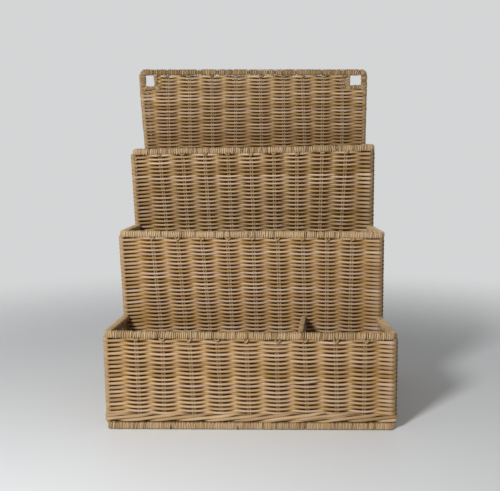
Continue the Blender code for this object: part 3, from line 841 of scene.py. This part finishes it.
def postStrand(wall, side):
    node = f"{wall.name}_{side}_post"
    heights = np.linspace(nodeLow(node)[2], nodeHigh(node)[2] + posts["overRim"], posts["points"])
    points = [(*postAt(wall, side, z), z) for z in heights]
    points = leanOut(points) if wall.name == "back" else settle(points, wall)
    # the right posts are painted darker: painted shade, as they turn from the light
    paintedShade = posts["paintedShade"] * corners["rightShadeAndSwell"][wall.name] if side == "right" else 0.0
    return {"node": node, "points": points, "radius": cane["postDiameter"] / 2, "tone": posts["tone"],
            "hue": random.uniform(0, 1), "facing": (1, 0), "paintedShade": paintedShade}


for strand in [postStrand(wall, side) for wall in walls for side in ("left", "right")]:
    strandPiece(strand["node"] + "_rod", [strand], postCane, [strand["node"]],
                bevelSteps=cane["postBevelSteps"])


def stakeRods(wall, following):
    pair = (-rods["apart"], rods["apart"])
    heights = np.linspace(standLevel, wall.rimMiddle, rods["points"])
    lines = [[(*(stakeAt(wall, number, z) + (shift, 0)), z) for z in heights]
             for number in range(len(wall.stakes)) for shift in pair]
    for y in wall.sideStakes:
        for side in ("left", "right"):
            at = sideStake(wall, following, side, y)
            way = unit(sideStake(wall, following, side, y + 0.01) - at)
            lines += [[(*(at + way * shift), z) for z in (standLevel, wall.rimMiddle)] for shift in pair]
    track = rimTrack(wall, following)
    if track.shape[1] == 2:
        track = np.column_stack([track, np.full(len(track), wall.rimMiddle)])
    strands = [{"points": line, "radius": rods["radius"]} for line in lines]
    # the rim's core is painted wholly in hollow shade, for the shade seen through the binding's slits
    strands.append({"points": track, "radius": rods["coreRadius"], "hollowShade": 1.0})
    for strand in strands:
        strand["tone"] = np.clip(random.normal(rods["tone"][wall.name], rods["toneSpread"]), 0, 1)
        strand["hue"] = random.uniform(0, 1)
    return moved(strands, settle, wall)


# Bound rims: loops of flat cane side by side round a core

binding = {
    "pitch": 0.00205,
    "basePitch": 0.00178,
    "pitchSpread": 0.20,
    "pitchLimits": (0.6, 1.6),
    "width": 0.00112,        # half the width of a loop
    "thickness": 0.00045,    # half its thickness
    "tightCover": 1.00,      # loops close up in some stretches
    "looseCover": 0.84,      # and in others slits open between them
    "stretch": 9,            # loops from one stretch to the next
    "looseness": (-0.6, 1.4),
    "slits": {"front": 0.12, "second": 0.12, "third": 0.12, "back": 0.26, "base": 0.08, "other": 0.12},
    "slitCover": 0.46,       # how much of its place a loop covers beside a wide slit
    "tone": {"front": 0.70, "second": 0.92, "third": 0.86, "back": 0.36},
    "toneSpread": 0.17,
    "lean": 0.08,
    "leanSpread": 0.04,
    "heightJitter": 0.00012,
    "sizeJitter": 0.0001,
    "corner": 0.6,
}


def flatProfile():
    data = bpy.data.curves.new("flatCane", "CURVE")
    data.dimensions = "2D"
    spline = data.splines.new("POLY")
    width, thick = binding["width"], binding["thickness"]
    outline = [(0, -thick), (width, -thick * 0.4), (width * 0.55, thick * 0.75), (0, thick),
               (-width * 0.55, thick * 0.75), (-width, -thick * 0.4)]
    spline.points.add(len(outline) - 1)
    for point, (x, y) in zip(spline.points, outline):
        point.co = (x, y, 0, 1)
    spline.use_cyclic_u = True
    profile = bpy.data.objects.new("flatCane", data)
    scratch.objects.link(profile)
    return profile


flatCane = flatProfile()


def roundedTrack(corners, radius, closed=False):
    # a line in plan with round corners, as dense places
    corners = [np.asarray(corner, float) for corner in corners]
    places = []
    number = len(corners)
    for index, corner in enumerate(corners):
        if not closed and index in (0, number - 1):
            places.append(corner[None])
            continue
        before = unit(corners[index - 1] - corner)
        after = unit(corners[(index + 1) % number] - corner)
        angle = math.acos(np.clip(before @ after, -1, 1))
        if angle > 3.1:
            places.append(corner[None])
            continue
        reach = radius / math.tan(angle / 2)
        middle = corner + unit(before + after) * radius / math.sin(angle / 2)
        start, end = corner + before * reach - middle, corner + after * reach - middle
        share = np.linspace(0, 1, 9)[:, None]
        turn = math.pi - angle
        arc = (np.sin((1 - share) * turn) * start + np.sin(share * turn) * end) / math.sin(turn)
        places.append(middle + arc)
    places = np.concatenate(places)
    return np.concatenate([places, places[:1]]) if closed else places


def alongTrack(places, ups, halfAcross, spacing, spread):
    # stations along a line, a spacing apart on the outer side of its bends: places and directions
    run = runOf(places)
    ways = np.gradient(places, run, axis=0)
    ways /= np.linalg.norm(ways, axis=1, keepdims=True)
    outerRun = runOf(places + halfAcross * np.cross(ways, ups))
    number = int(round(outerRun[-1] / spacing))
    widths = np.clip(random.normal(1, spread, number), *binding["pitchLimits"])
    marks = (np.cumsum(widths) - widths / 2) / widths.sum() * outerRun[-1]
    at = np.column_stack([np.interp(marks, outerRun, axis) for axis in places.T])
    ways = np.column_stack([np.interp(marks, outerRun, axis) for axis in ways.T])
    ways /= np.linalg.norm(ways, axis=1, keepdims=True)
    return at, ways, widths


def loopRound(at, way, up, halfAcross, halfHigh, lean=0.0, scale=1.0, corner=binding["corner"], tone=0.5):
    # one closed loop of flat cane round a bar that runs along way; it starts on the bar's up side
    halfAcross, halfHigh = halfAcross - binding["thickness"], halfHigh - binding["thickness"]
    radius = corner * min(halfAcross, halfHigh)
    face = np.cross(way, up)
    outline = [(0, halfHigh)]
    for sideways, upwards, turn in ((-1, 1, 0), (-1, -1, 1), (1, -1, 0), (1, 1, 1)):
        bends = [(0, 1), (0.707, 0.707), (1, 0)]
        for bend in (reversed(bends) if turn else bends):
            outline.append((sideways * (halfAcross - radius + radius * bend[0]),
                            upwards * (halfHigh - radius + radius * bend[1])))
    across, rise = np.array(outline).T
    points = at + across[:, None] * face + rise[:, None] * up + (lean * rise)[:, None] * way
    flat = np.cross(-face, (0, 0, 1))
    return {"points": points, "radius": scale, "tilt": -math.atan2(way[2], way @ flat),
            "tone": np.clip(random.normal(tone, binding["toneSpread"]), 0, 1), "hue": random.uniform(0, 0.7)}


def boundLoops(places, middleZ, halfAcross, halfHigh, corner=binding["corner"], pitch=binding["pitch"],
               tighter=0.0, tone=0.5, slits=binding["slits"]["other"]):
    # loops round a bar whose middle line lies level, or in the plane of a cross wall
    places = np.asarray(places)
    level = places.shape[1] == 2
    if level:
        places = np.column_stack([places, np.full(len(places), middleZ)])
    upright = np.array([0, 0, 1.0]) if level else np.array([0, -1.0, 0])
    reach = halfAcross if level else -halfHigh
    at, ways, widths = alongTrack(places, upright, reach, pitch, binding["pitchSpread"])
    marks = np.arange(len(at) // binding["stretch"] + 3) * binding["stretch"]
    loose = random.uniform(*binding["looseness"], len(marks))
    loose = np.clip(np.interp(np.arange(len(at)), marks, loose), 0, 1)
    covers = binding["tightCover"] + (binding["looseCover"] - binding["tightCover"]) * loose + tighter
    covers = np.where(random.uniform(0, 1, len(at)) < slits, binding["slitCover"], covers)
    loops = []
    for place, way, width, cover in zip(at, ways, widths, covers):
        lean = binding["lean"] + random.normal(0, binding["leanSpread"])
        up = np.array([0, 0, 1.0]) if level else np.cross(way, (0, 1.0, 0))
        place = place + up * random.normal(0, binding["heightJitter"])
        halves = [half + random.normal(0, binding["sizeJitter"]) for half in (halfAcross, halfHigh)]
        scale = width * cover * pitch / binding["pitch"]
        loops.append(loopRound(place, way, up, *halves, lean, scale, corner, tone))
    return loops


def boundPiece(name, loops, node):
    strandPiece(name, loops, bindingCane, [node], cyclic=True, profile=flatCane)


rim = {"halfAcross": 0.0038, "corner": 0.0036, "proud": 0.0020, "stopsShort": 0.0042,
       "backCorner": 0.0034, "backProud": 0.0008}


def rimTrack(wall, following):
    if following is None:
        top = wall.rimMiddle
        left, right = wall.leftCorner[0] - rim["backProud"], wall.rightCorner[0] + rim["backProud"]
        line = roundedTrack([(left, nodeLow("left_eye_sill")[2]), (left, top), (right, top),
                             (right, nodeLow("right_eye_sill")[2])], rim["backCorner"])
        return leanOut(np.column_stack([line[:, 0], np.full(len(line), wall.y), line[:, 1]]))
    stop = unit(wall.leftCorner - following.leftCorner) * rim["stopsShort"]
    stopRight = unit(wall.rightCorner - following.rightCorner) * rim["stopsShort"]
    proud = np.array([rim["proud"], 0])
    return roundedTrack([following.leftCorner + stop, wall.leftCorner - proud, wall.rightCorner + proud,
                         following.rightCorner + stopRight], rim["corner"])


# Where the stakes end, two crossing turns of cane make a small V under the rim. Share is how far
# down each one reaches, from left to right.

tie = {"radius": 0.0008, "spread": 0.0027, "drop": 0.0027, "proud": 0.0046, "over": 0.0007,
       "wander": 0.0005, "toneSpread": 0.15,
       "share": {"front": (0.6, 0.4, 1.0, 0.4, 1.0, 1.0, 0.5, 1.0, 1.0),
                 "second": (0.8, 1.0, 0.7, 0.5, 0.6, 1.0, 0.8, 1.1, 0.7),
                 "third": (0.4, 0.3, 0.3, 0.6, 1.0, 0.3, 1.0, 0.3, 1.0),
                 "back": (0.4, 0.5, 0.3, 0.5, 0.4, 0.5, 0.3, 0.5, 0.4)}}


def rimTies(wall):
    ties = []
    for number in range(len(wall.stakes)):
        x = stakeAt(wall, number, wall.rimLow)[0] + random.normal(0, tie["wander"])
        drop = tie["drop"] * tie["share"][wall.name][number] * random.uniform(0.8, 1.1)
        for side in (-1, 1):
            proud = tie["proud"] + (tie["over"] if side > 0 else 0)
            outline = [(1.0, 0.0034, 0.0012), (0.72, proud, 0.0), (0.30, proud, -0.55 * drop),
                       (-0.10, proud - 0.0003, -0.9 * drop), (-0.35, 0.0024, -1.1 * drop)]
            points = [(x + side * tie["spread"] * across, wall.y - out, wall.rimLow + up)
                      for across, out, up in outline]
            ties.append({"points": np.array(points), "radius": tie["radius"], "hue": random.uniform(0, 1),
                         "tone": np.clip(random.normal(0.5, tie["toneSpread"]), 0, 1)})
    return moved(ties, leanOut) if wall.name == "back" else moved(ties, settle, wall)


for wall, following in zip(walls, walls[1:] + [None]):
    loops = boundLoops(rimTrack(wall, following), wall.rimMiddle, rim["halfAcross"], wall.rimHalf,
                       tone=binding["tone"][wall.name], slits=binding["slits"][wall.name])
    boundPiece(f"{wall.name}_rim_cane", moved(loops, settle, wall), f"{wall.name}_rim_binding")
    strandPiece(f"{wall.name}_rim_ties", rimTies(wall), bindingCane, [])
    strandPiece(f"{wall.name}_stakes", stakeRods(wall, following), stakeCane, [f"{wall.name}_rim_frame"])

# Base frame

base = {"halfAcross": 0.0037, "proud": 0.0030, "backProud": 0.0038, "bend": 0.0022, "corner": 0.25,
        "tighter": 0.10, "tone": 0.62, "footHeight": 0.0009, "footShade": 0.7, "footPaintedShade": 0.75}
baseLow, baseHigh = nodeLow("base_binding"), nodeHigh("base_binding")
baseHalfHigh = (baseHigh[2] - baseLow[2]) / 2


def baseTrack():
    inset = base["halfAcross"]
    frontX = baseHigh[0] + base["proud"] - inset
    backX = walls[3].rightCorner[0] + base["backProud"] - inset
    frontY, backY = baseLow[1] - base["proud"] + inset, baseHigh[1] + base["proud"] - inset
    return roundedTrack([(0, frontY), (frontX, frontY), (backX, backY), (-backX, backY),
                         (-frontX, frontY)], base["bend"], closed=True)


loops = boundLoops(baseTrack(), baseLow[2] + baseHalfHigh, base["halfAcross"], baseHalfHigh,
                   corner=base["corner"], pitch=binding["basePitch"], tighter=base["tighter"],
                   tone=base["tone"], slits=binding["slits"]["base"])
for loop in loops:
    # a painted contact shadow: a dark line at the foot
    foot = loop["points"][:, 2] < baseLow[2] + base["footHeight"]
    loop["tone"] = loop["tone"] - base["footShade"] * foot
    loop["paintedShade"] = base["footPaintedShade"] * foot
boundPiece("base_cane", loops, "base_binding")

# Divider

divider = {"frontX": 0.052, "backX": 0.058, "inset": 0.0035, "rowPitch": 0.00215, "lift": 0.0005,
           "rimHalf": 0.00285, "rimInto": 0.0008}
dividerFront = np.array([divider["frontX"], walls[0].y + divider["inset"]])
dividerBack = np.array([divider["backX"], walls[1].y - divider["inset"]])
dividerWay = unit(dividerBack - dividerFront)
dividerRimLow, dividerRimHigh = nodeLow("divider_binding")[2], nodeHigh("divider_binding")[2]


def dividerStrands():
    stakes = clusters(stakesBelow("divider_frame", dividerRimLow)[:, 1], reading["stakeGap"])
    shares = [(y - dividerFront[1]) / (dividerBack[1] - dividerFront[1]) for y in stakes]
    places = [dividerFront + (dividerBack - dividerFront) * share for share in shares]
    face = outward(dividerWay)
    strands = []
    for height, even in rows(standLevel, dividerRimLow, divider["rowPitch"]):
        knots = ([knot(dividerFront, dividerWay, 0, 0, face)]
                 + passStakes(places, dividerWay, 1, -even)
                 + [knot(dividerBack, dividerWay, len(stakes) + 1, 0, face)])
        strands.append(weaverStrand(walls[0], knots, height, even, divider["lift"]))
    return strands


strandPiece("divider_weavers", dividerStrands(), weaverCane, ["divider_weave"])
dividerTrack = [dividerFront - dividerWay * divider["rimInto"], dividerBack]
boundPiece("divider_rim_cane",
           boundLoops(dividerTrack, (dividerRimLow + dividerRimHigh) / 2, divider["rimHalf"],
                      (dividerRimHigh - dividerRimLow) / 2), "divider_binding")

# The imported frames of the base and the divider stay, with a cane material

for node in ("base_frame", "divider_frame"):
    frame["nodes"][node].data.materials.clear()
    frame["nodes"][node].data.materials.append(rodCane)

# Floor

floorWeave = {"rowPitch": 0.0022, "inset": 0.0011, "runners": 9, "steps": 7, "girth": 0.98}


def floorStrands():
    low, high = nodeLow("floor_weave"), nodeHigh("floor_weave")
    spans = floorWeave["runners"] + 1
    count = np.linspace(0, spans, spans * floorWeave["steps"] + 1)
    number = int(round((high[1] - low[1]) / floorWeave["rowPitch"]))
    deep = high[1] - low[1] - 2 * floorWeave["inset"]
    strands = []
    for row in range(number):
        y = low[1] + floorWeave["inset"] + deep * row / (number - 1)
        share = (y - walls[0].y) / (walls[3].y - walls[0].y)
        halfX = high[0] + share * (walls[3].rightPost[0] - walls[0].rightPost[0])
        depth = (1 - 2 * (row % 2)) * np.cos(np.pi * count)
        points = np.column_stack([-halfX + 2 * halfX * count / spans, np.full(len(count), y),
                                  (low[2] + high[2]) / 2 + stakeReach * depth * floorWeave["girth"]])
        strands.append({"points": points, "radius": cane["weaverDiameter"] / 2 * floorWeave["girth"],
                        "facing": (0, 1), "tone": strandTone(len(points), cane["toneSpread"]),
                        "hue": random.uniform(0, 1)})
    return strands


strandPiece("floor_weavers", floorStrands(), weaverCane, ["floor_weave"])

# Wale round the foot


def waleUprights():
    # place, way in and way out of the uprights round the holder, from the left front post
    front, back = walls[0], walls[3]
    uprights = [(front.leftPost, unit(front.leftPost - walls[1].leftPost), rightward)]
    uprights += [(at, rightward, rightward) for at in stakesAt(front, waleTop)]
    for index, wall in enumerate(walls):
        before = rightward if index == 0 else unit(wall.rightPost - walls[index - 1].rightPost)
        after = -rightward if index == 3 else unit(walls[index + 1].rightPost - wall.rightPost)
        uprights.append((wall.rightPost, before, after))
        uprights += [(sideStake(wall, walls[index + 1], "right", y), after, after)
                     for y in wall.sideStakes]
    uprights += [(at, -rightward, -rightward) for at in reversed(stakesAt(back, waleTop))]
    for index in (3, 2, 1):
        wall, nearer = walls[index], walls[index - 1]
        after = unit(nearer.leftPost - wall.leftPost)
        before = -rightward if index == 3 else unit(wall.leftPost - walls[index + 1].leftPost)
        uprights.append((wall.leftPost, before, after))
        uprights += [(sideStake(nearer, wall, "left", y), after, after)
                     for y in reversed(nearer.sideStakes)]
    return uprights


def waleStrands():
    # three rods, each in front of two uprights and behind the third
    uprights = waleUprights()
    number = len(uprights)
    reach = (cane["stakeDiameter"] + wale["diameter"]) / 2
    cornerReach = (cane["postDiameter"] - wale["diameter"]) / 2 + wale["proudOfPosts"]
    strands = []
    for rod, first in enumerate((0, -2, -1)):
        knots = []
        for step in range(first, number + (rod - number) % 3 + 1):
            at, before, after = uprights[(wale["startAt"] + step) % number]
            side = -1 if (step - rod) % 3 == 0 else 1
            if abs(before @ after) < wale["straight"]:
                knots += turnPost(at, before, after, step, side, cornerReach, 0)
            else:
                knots.append(passStake(at, after, step, side, reach))
        places, counts, depths, facings = runThrough(knots, wale["sampleStep"])[:4]
        behind = ((counts - rod) % 3 + 0.5) % 3
        share = np.where(behind < 1, 1 - behind, (behind - 1) / 2)
        z = wale["lowZ"] + (wale["highZ"] - wale["lowZ"]) * share
        z += np.interp(counts, np.arange(-4, number + 8), random.normal(0, wale["wander"], number + 12))
        # the starts climb from the base, and the ends lie over them
        z -= wale["startDip"] * np.clip(1 - (counts - first) / wale["startLength"], 0, 1)
        over = np.clip((counts - number + wale["endFrom"]) / wale["endLength"], 0, 1)
        z += wale["endRise"] * over
        points = np.column_stack([places + facings * (wale["endProud"] * over)[:, None], z])
        pinch = 1 - wale["pinch"] * np.sin(np.pi * counts) ** 4
        # warmer where the rod passes behind: painted warm bounce light
        strands.append({"points": points, "radius": wale["diameter"] / 2 * pinch, "facing": facings,
                        "depth": depths, "tone": strandTone(len(points), wale["toneSpread"]),
                        "hue": wale["hue"] + wale["bounceTintBehind"] * (1 - np.clip(depths, 0, 1))})
    return strands


strandPiece("wale_strands", waleStrands(), waleCane, ["front_wale", "back_wale", "left_wale", "right_wale"],
            bevelSteps=cane["postBevelSteps"])

# Hanging eyes: bound bars, with a knot of slanting turns in each lower corner

eyeKnot = {"fromEnd": (0.003, -0.0025), "spacing": 0.0013, "slant": 0.9, "climb": 0.0011,
           "drop": 0.0004, "halfAcross": 0.0036, "girth": 1.05}


def sideLoops(node, shift):
    low, high = nodeLow(node) + (shift, 0, 0), nodeHigh(node) + (shift, 0, 0)
    centre, half = (low + high) / 2, (high[0] - low[0]) / 2
    heights = np.linspace(low[2] - eyes["barBelow"], high[2] + eyes["barAbove"], 8)
    return boundLoops(leanOut([(centre[0], centre[1], z) for z in heights]), 0, half, half)


def sillLoops(eye):
    half = (eye["sillHigh"] - eye["sillLow"]) / 2
    middle, y = eye["sillLow"] + half, walls[3].y
    track = leanOut([(x, y, middle) for x in np.linspace(eye["sillFrom"], eye["sillTo"], 9)])
    loops = boundLoops(track, 0, half, half)
    for end, x, shift in zip((-1, 1), (eye["sillFrom"], eye["sillTo"]), eyeKnot["fromEnd"]):
        way = unit([1.0, 0, -end * eyeKnot["slant"]])
        for step in (-1, 0, 1):
            at = leanOut([(x + shift + step * eyeKnot["spacing"], y,
                           middle - eyeKnot["drop"] - end * step * eyeKnot["climb"])])[0]
            loops.append(loopRound(at, way, np.cross(way, (0, 1.0, 0)), eyeKnot["halfAcross"],
                                   half * eyeKnot["girth"]))
    return loops


for side in ("left", "right"):
    boundPiece(f"{side}_eye_side_cane", sideLoops(f"{side}_eye_side_bar", eyes[side]["barShift"]),
               f"{side}_eye_side_bar")
    boundPiece(f"{side}_eye_sill_cane", sillLoops(eyes[side]), f"{side}_eye_sill")

for item in list(scratch.objects):
    bpy.data.objects.remove(item)
bpy.data.collections.remove(scratch)

# Stage, light and camera

stage = {"floorColour": (0.77, 0.785, 0.795, 1), "floorRoughness": 0.6, "floorSize": 6.0,
         "background": (0.66, 0.665, 0.67, 1), "fadeFrom": 0.32, "fadeTo": 1.0}

lighting = {
    "worldStrength": 0.26,
    "keyPlace": (-0.50, -1.06, 0.67),
    "keySize": 0.24,
    "keyPower": 15.1,
    "backPlace": (0.62, 1.30, 0.80),
    "backSize": 0.80,
    "backPower": 9.0,
    "aim": (0.0, 0.0, 0.18),
}

view = {"place": (0.0253, -0.9481, 0.2974), "down": 7.12, "yaw": -1.70, "roll": -0.35, "lens": 59.56}


def backgroundRays(tree):
    # 1 for the rays that see the plain background: from the camera, and in gloss and glass
    rays = addNode(tree, "LightPath", (-1100, 600)).outputs
    seen = mathNode(tree, (-900, 600), "MAXIMUM", rays["Is Camera Ray"], rays["Is Glossy Ray"])
    return mathNode(tree, (-700, 600), "MAXIMUM", seen, rays["Is Transmission Ray"])


def mixShaders(tree, target, factor, first, second):
    mix = addNode(tree, "MixShader", (300, 100), {"Fac": factor, 1: first, 2: second})
    tree.links.new(mix.outputs["Shader"], tree.nodes[target].inputs["Surface"])


def makeFloor():
    bm = bmesh.new()
    bmesh.ops.create_circle(bm, cap_ends=True, segments=96, radius=stage["floorSize"])
    mesh = bpy.data.meshes.new("floor")
    bm.to_mesh(mesh)
    bm.free()
    floor = bpy.data.objects.new("floor", mesh)
    bpy.context.scene.collection.objects.link(floor)
    material = bpy.data.materials.new("paleFloor")
    material.use_nodes = True
    tree = material.node_tree
    shader = tree.nodes["Principled BSDF"]
    shader.inputs["Base Color"].default_value = stage["floorColour"]
    shader.inputs["Roughness"].default_value = stage["floorRoughness"]
    # far from the holder the floor fades into the background, and from below it is clear
    place = addNode(tree, "TexCoord", (-900, 300)).outputs["Object"]
    distance = addNode(tree, "VectorMath", (-700, 300), {0: place}, operation="LENGTH").outputs["Value"]
    fade = addNode(tree, "MapRange", (-500, 300), {"Value": distance, "From Min": stage["fadeFrom"],
                                                   "From Max": stage["fadeTo"]},
                   interpolation_type="SMOOTHSTEP").outputs["Result"]
    under = addNode(tree, "NewGeometry", (-700, 100)).outputs["Backfacing"]
    faint = mathNode(tree, (-400, 200), "MAXIMUM", fade, under)
    seen = mathNode(tree, (-300, 400), "MULTIPLY", backgroundRays(tree), faint)
    clear = addNode(tree, "BsdfTransparent", (0, -300))
    mixShaders(tree, "Material Output", seen, shader.outputs["BSDF"], clear.outputs["BSDF"])
    mesh.materials.append(material)
    return floor


def makeWorld():
    world = bpy.data.worlds.new("studio")
    bpy.context.scene.world = world
    world.use_nodes = True
    tree = world.node_tree
    light = tree.nodes["Background"]
    light.inputs["Color"].default_value = (1, 1, 1, 1)
    light.inputs["Strength"].default_value = lighting["worldStrength"]
    seen = addNode(tree, "Background", (0, -200), {"Color": stage["background"], "Strength": 1})
    mixShaders(tree, "World Output", backgroundRays(tree), light.outputs[0], seen.outputs[0])


def makeLamp(name):
    data = bpy.data.lights.new(name, "AREA")
    data.shape = "DISK"
    data.size = lighting[name + "Size"]
    data.energy = lighting[name + "Power"]
    lamp = bpy.data.objects.new(name, data)
    lamp.location = lighting[name + "Place"]
    lamp.visible_camera = False
    way = Vector(lighting["aim"]) - Vector(lighting[name + "Place"])
    lamp.rotation_euler = way.to_track_quat("-Z", "Y").to_euler()
    bpy.context.scene.collection.objects.link(lamp)
    return lamp


def makeLights(floor):
    makeLamp("key")
    # a soft lamp for the back of the holder, which leaves the floor alone
    back = makeLamp("back")
    spared = bpy.data.collections.new("spared")
    spared.objects.link(floor)
    back.light_linking.receiver_collection = spared
    spared.collection_objects[0].light_linking.link_state = "EXCLUDE"


def makeCamera():
    data = bpy.data.cameras.new("camera")
    data.lens = view["lens"]
    data.sensor_width = 36
    data.clip_start = 0.01
    camera = bpy.data.objects.new("camera", data)
    camera.location = view["place"]
    forward = Euler((math.radians(90 - view["down"]), 0, math.radians(-view["yaw"]))).to_matrix()
    roll = Euler((0, 0, math.radians(view["roll"]))).to_matrix()
    camera.rotation_euler = (forward @ roll).to_euler()
    bpy.context.scene.collection.objects.link(camera)
    bpy.context.scene.camera = camera


floor = makeFloor()
makeWorld()
makeLights(floor)
makeCamera()
bpy.context.scene.view_settings.view_transform = "Standard"
print("stage, light and camera ready")
